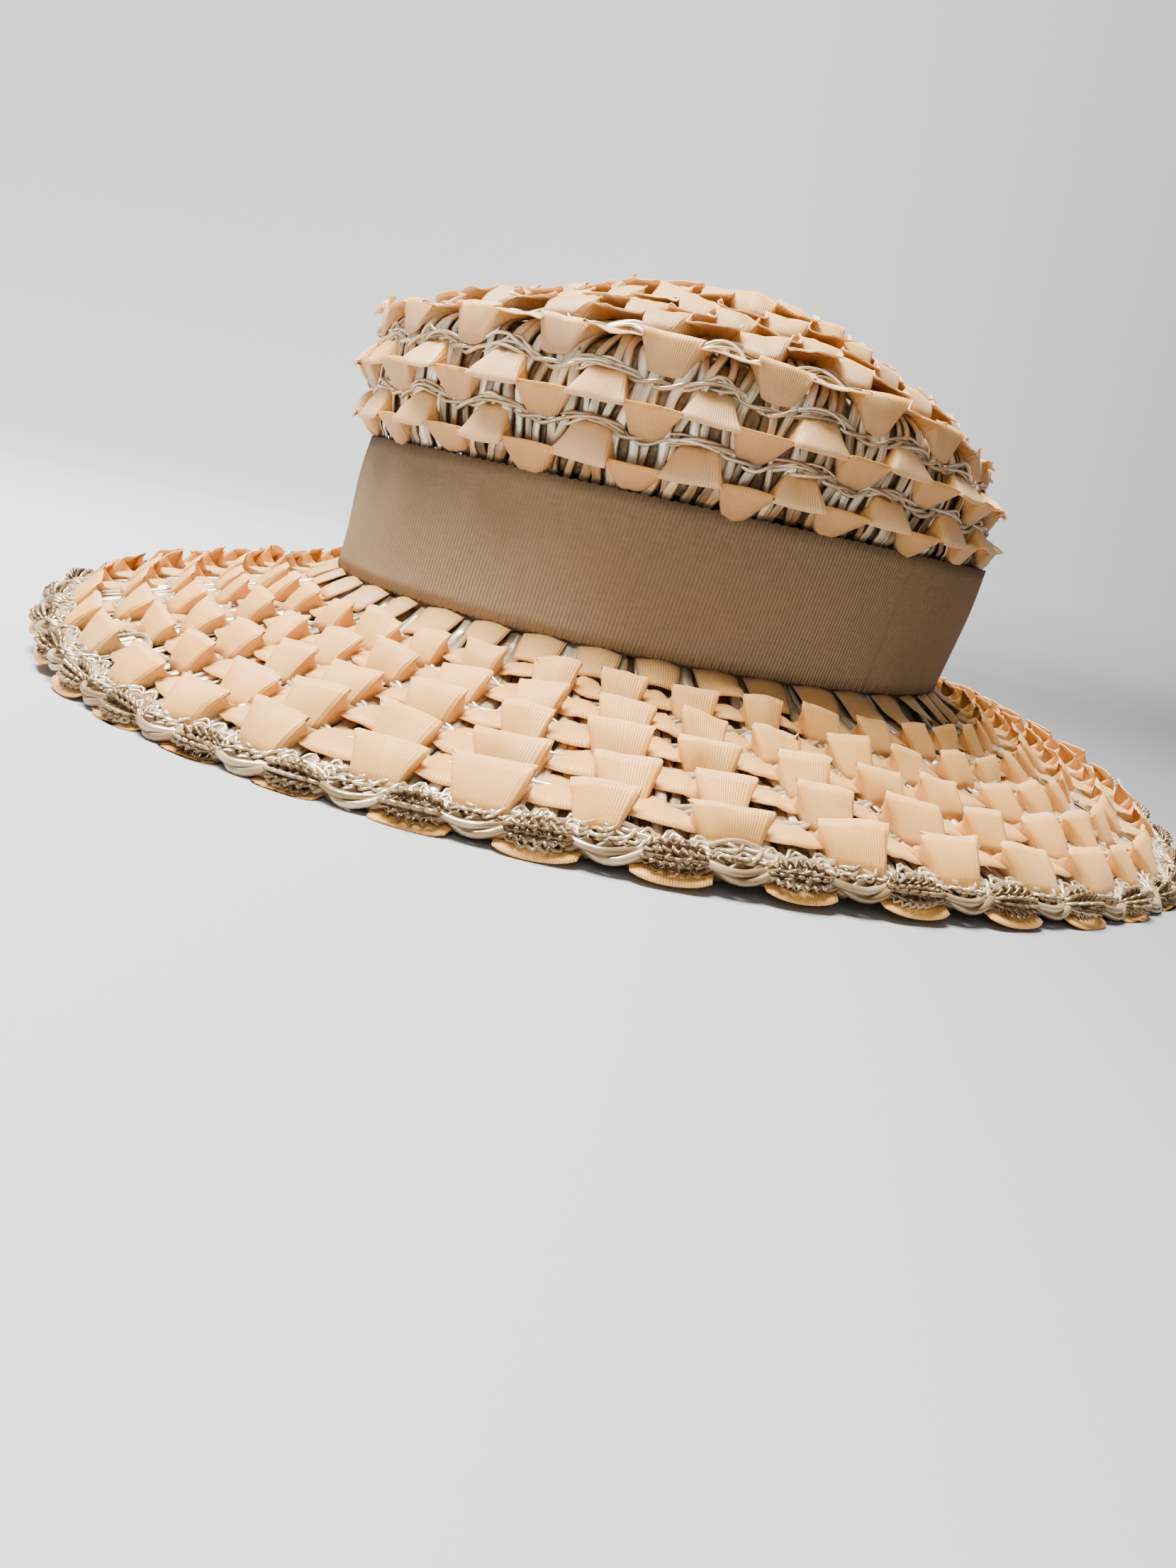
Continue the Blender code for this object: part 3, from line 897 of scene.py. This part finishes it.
def edge_cord():
    """The rim: a smooth double cord that swags below each outward ribbon tab and arches over a bunch of
    fine loops between them, on a plain core painted near black as painted shade, with a thin cord inside."""
    count = BRIM_TABS * RIM_SAMPLES
    phase = np.arange(count) / RIM_SAMPLES
    angle = TURN * phase / BRIM_TABS
    wave = np.cos(TURN * (phase - 0.25)) + 0.10 * wander(701, count, BRIM_TABS)
    parts = []
    swag = rim_point(angle, 0.0026 * wave - 0.0006, -0.0013 * wave + 0.0004)
    # Low shades here, near black for the core, are painted shade under the rim.
    parts.append(tube_pair(swag, 0.0009, 0.0008, BRIM_TABS, 710, 0.43))
    core = rim_point(angle, 0 * angle - 0.0008, 0 * angle - 0.0008)
    parts.append(tube_pair(core, 0.0014, 0.0009, 3 * BRIM_TABS, 730, 0.05))
    inner = rim_point(angle, 0.0008 * wave - 0.0034, 0.0002 - 0.0006 * wave)
    parts.append(tube_pair(inner, 0.0006, 0.0006, 4 * BRIM_TABS, 720, 0.22))
    mesh_piece("rim_cords", *above_floor(*gathered(parts)), CORD, ("edge_cord",), "silver_straw")
    mesh_piece("rim_loops", *above_floor(*gathered(rim_bunches(740))), CORD, (), "silver_straw")
    rim_ribbon()


def above_floor(points, *others):
    """Drawn points, moved up where they would come out under the floor, with what goes with them."""
    low = np.minimum(place_on_floor(points)[:, 2] - 0.0001, 0)
    return points - low[:, None] * SETTLED_TURN[2][None, :], *others


def rim_bunches(seed):
    """Fine looped straw in a rounded bunch between each two outward ribbon tabs."""
    source = rng(seed)
    along = np.linspace(-1, 1, RIM_SAMPLES)
    for tab in range(BRIM_TABS):
        centre = tab + 0.75 + source.normal(0, 0.02)
        for line in range(7):
            tilt = math.radians(-45 + 30 * line + source.normal(0, 6))
            loops = source.uniform(2.4, 4.2)
            ripple = 0.0010 * np.sin(along * loops * TURN + source.uniform(0, TURN))
            dome = np.sqrt(np.clip(1 - along ** 2, 0.02, 1))
            out = -0.0004 + (0.0036 + ripple) * dome * math.cos(tilt)
            up = 0.0002 + (0.0026 + ripple) * dome * math.sin(tilt)
            sway = along * 0.27 + 0.02 * np.cos(along * loops * TURN)
            angle = TURN * (centre + sway) / BRIM_TABS
            middle = rim_point(angle, out, up)
            # The loops take open_tube's low default shade, as painted shade under the rim.
            yield open_tube(middle, 0.00046 * source.uniform(0.7, 1.3), source)


def open_tube(middle, radius, source, shade=0.30):
    """A plain strand along an open line of points."""
    sides = 4
    count = len(middle)
    ahead = unit(np.gradient(middle, axis=0))
    side = unit(np.cross(ahead, np.array([0, 0, 1.0])))
    normal = np.cross(side, ahead)
    radii = radius * np.clip(3 * np.sqrt(np.clip(1 - np.linspace(-1, 1, count) ** 2, 0, 1)), 0.3, 1)
    points = tube_points(middle, side, normal, radii, sides)
    length = np.cumsum(np.append(0, np.linalg.norm(np.diff(middle, axis=0), axis=1)))
    around = np.abs(np.linspace(-1, 1, sides)) * radius + source.uniform(0, 1)
    uv = grid_uv(around[None, :], length[:, None])
    shades = np.full(count * sides, source.normal(shade, 0.14))
    return points.reshape(-1, 3), grid_faces(count, sides, close_columns=True), uv, shades


def rim_ribbon():
    """The last ribbon row, whose tabs show under the rim between the swags."""
    columns, rows = 11, 6
    source = rng(771)
    parts = []
    for tab in range(BRIM_TABS):
        centre = tab + 0.75 + source.normal(0, 0.02)
        across = np.linspace(-1, 1, columns)
        down = np.linspace(0, 1, rows)
        half_width = 0.33 * (1 - 0.10 * down) + source.normal(0, 0.01)
        angle = TURN * (centre + half_width[:, None] * across[None, :]) / BRIM_TABS
        reach = RIM_TAB_WIDTH + source.normal(0, 0.0003)
        out = -0.0030 + reach * down[:, None] * (1 - 0.2 * across[None, :] ** 4)
        up = -0.0016 - 0.0022 * (down[:, None] ** 2) * (1 - 0.5 * across[None, :] ** 2)
        grid = rim_point(angle, out, up)
        normals = -grid_normals(grid, False)
        half = normals * RIBBON_THICK / 2
        points, faces = slab(grid - half, grid + half)
        uv = grid_uv(across[None, :] * 8, down[:, None] * 8, 2)
        # Painted shade: each tab is painted darker at its root under the cord and lighter towards its tip,
        # on a tone that differs at random.
        tone_and_shade = 0.55 + source.normal(0, 0.04) + 0.10 * down[:, None] + 0 * across[None, :]
        parts.append((points, faces, uv, np.tile(tone_and_shade.ravel(), 2)))
    tabs = mesh_piece("rim_ribbon_tabs", *above_floor(*gathered(parts)), PEACH, (), "peach_ribbon")


# Stage


def stage():
    """A pale floor that curves up into a backdrop all round the hat, darkened towards one side as painted
    shade and glowing as painted light, most behind the hat, and soft lights.
    """
    made, nodes, links, shader = new_material("pale_floor")
    where = add(nodes, "ShaderNodeTexCoord")
    split = add(nodes, "ShaderNodeSeparateXYZ")
    links.new(where.outputs["Object"], split.inputs[0])
    # Painted shade: the floor's colour goes from pale to near black across it, darker towards one side of
    # the hat.
    right = math_node(nodes, links, "ADD", split.outputs["X"], split.outputs["Y"])
    right = math_node(nodes, links, "ADD", math_node(nodes, links, "MULTIPLY", right, 0.4), 0.5)
    colour = ramp(nodes, links, right,
                  ((0.3, (0.58, 0.59, 0.60)), (0.5, (0.42, 0.425, 0.435)),
                   (0.62, (0.17, 0.172, 0.176)), (0.8, (0.08, 0.081, 0.083))))
    links.new(colour.outputs[0], shader.inputs["Base Color"])
    shader.inputs["Roughness"].default_value = 0.85
    # Painted light: the floor and backdrop glow, most behind the hat and more the farther out they are,
    # lighting the hat as lamps would.
    squared = math_node(nodes, links, "ADD", math_node(nodes, links, "POWER", split.outputs["X"], 2),
                        math_node(nodes, links, "POWER", split.outputs["Y"], 2))
    away = math_node(nodes, links, "ADD", math_node(nodes, links, "SQRT", squared), 0.001)
    back = math_node(nodes, links, "SUBTRACT",
                     math_node(nodes, links, "MULTIPLY", split.outputs["Y"], 0.42),
                     math_node(nodes, links, "MULTIPLY", split.outputs["X"], 0.90))
    behind = ramp(nodes, links, math_node(nodes, links, "DIVIDE", back, away),
                  ((0.2, (0.0, 0.0, 0.0)), (0.62, (0.45, 0.45, 0.45)), (0.9, (1.0, 1.0, 0.985))))
    rise = ramp(nodes, links, math_node(nodes, links, "DIVIDE", squared, 6),
                ((0.04, (0.0, 0.0, 0.0)), (0.17, (0.40, 0.40, 0.40)),
                 (0.38, (0.68, 0.68, 0.68)), (0.9, (0.95, 0.95, 0.95))))
    glow = add(nodes, "ShaderNodeMix", data_type="RGBA", blend_type="MULTIPLY")
    glow.inputs["Factor"].default_value = 1
    links.new(behind.outputs[0], glow.inputs["A"])
    links.new(rise.outputs[0], glow.inputs["B"])
    links.new(glow.outputs["Result"], shader.inputs["Emission Color"])
    shader.inputs["Emission Strength"].default_value = 1.25
    count = 96
    angle = np.arange(count) * TURN / count
    grid = np.stack([np.stack([r * np.cos(angle), r * np.sin(angle), 0 * angle + z], -1)
                     for r, z in FLOOR_RINGS], 1)
    points = np.concatenate([grid.reshape(-1, 3), [[0, 0, 0]]])
    rows, columns, _ = grid.shape
    mesh = bpy.data.meshes.new("pale_floor")
    faces = grid_faces(rows, columns, close_rows=True).tolist()
    centre = rows * columns
    faces += [[i * columns, ((i + 1) % rows) * columns, centre] for i in range(rows)]
    mesh.from_pydata(points.tolist(), [], faces)
    mesh.shade_smooth()
    mesh.materials.append(made)
    floor = bpy.data.objects.new("pale_floor", mesh)
    bpy.context.scene.collection.objects.link(floor)
    floor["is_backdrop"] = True

    world = bpy.data.worlds.new("studio")
    bpy.context.scene.world = world
    world.use_nodes = True
    background = world.node_tree.nodes["Background"]
    background.inputs["Color"].default_value = (1.0, 0.99, 0.97, 1)
    background.inputs["Strength"].default_value = 0.12
    # Columns: name, place, size, power, colour
    lamps = (
        ("front_fill", (0.80, -0.85, 0.55), 0.7, 3.5, (1.0, 0.98, 0.95)),
        ("top_softbox", (-0.22, -0.30, 1.3), 0.7, 104, (1.0, 0.98, 0.95)),
    )
    for name, place, size, power, colour in lamps:
        lamp = bpy.data.lights.new(name, "AREA")
        lamp.shape = "SQUARE"
        lamp.size = size
        lamp.energy = power
        lamp.color = colour
        obj = bpy.data.objects.new(name, lamp)
        bpy.context.scene.collection.objects.link(obj)
        obj.location = place
        obj.rotation_euler = (Vector((0, 0, 0.05)) - Vector(place)).to_track_quat("-Z", "Y").to_euler()


def camera():
    data = bpy.data.cameras.new("photo_camera")
    data.sensor_fit = "VERTICAL"
    data.sensor_height = CAMERA_FRAME
    data.lens = CAMERA_LENS
    data.clip_start = 0.01
    obj = bpy.data.objects.new("photo_camera", data)
    turn = Euler([math.radians(a) for a in CAMERA_TURN]).to_matrix().to_4x4()
    obj.matrix_world = SETTLED @ Matrix.Translation(CAMERA_PLACE) @ turn
    bpy.context.scene.collection.objects.link(obj)
    bpy.context.scene.camera = obj


camera()
stage()
wall_lining()
ribbon_straps()
crown_straw()
brim_straw()
all_ribbons()
hat_band()
edge_cord()

boxes = {"cad": cad_box, "visual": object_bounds()}
{key: [list(map(float, corner)) for corner in box] for key, box in boxes.items()}
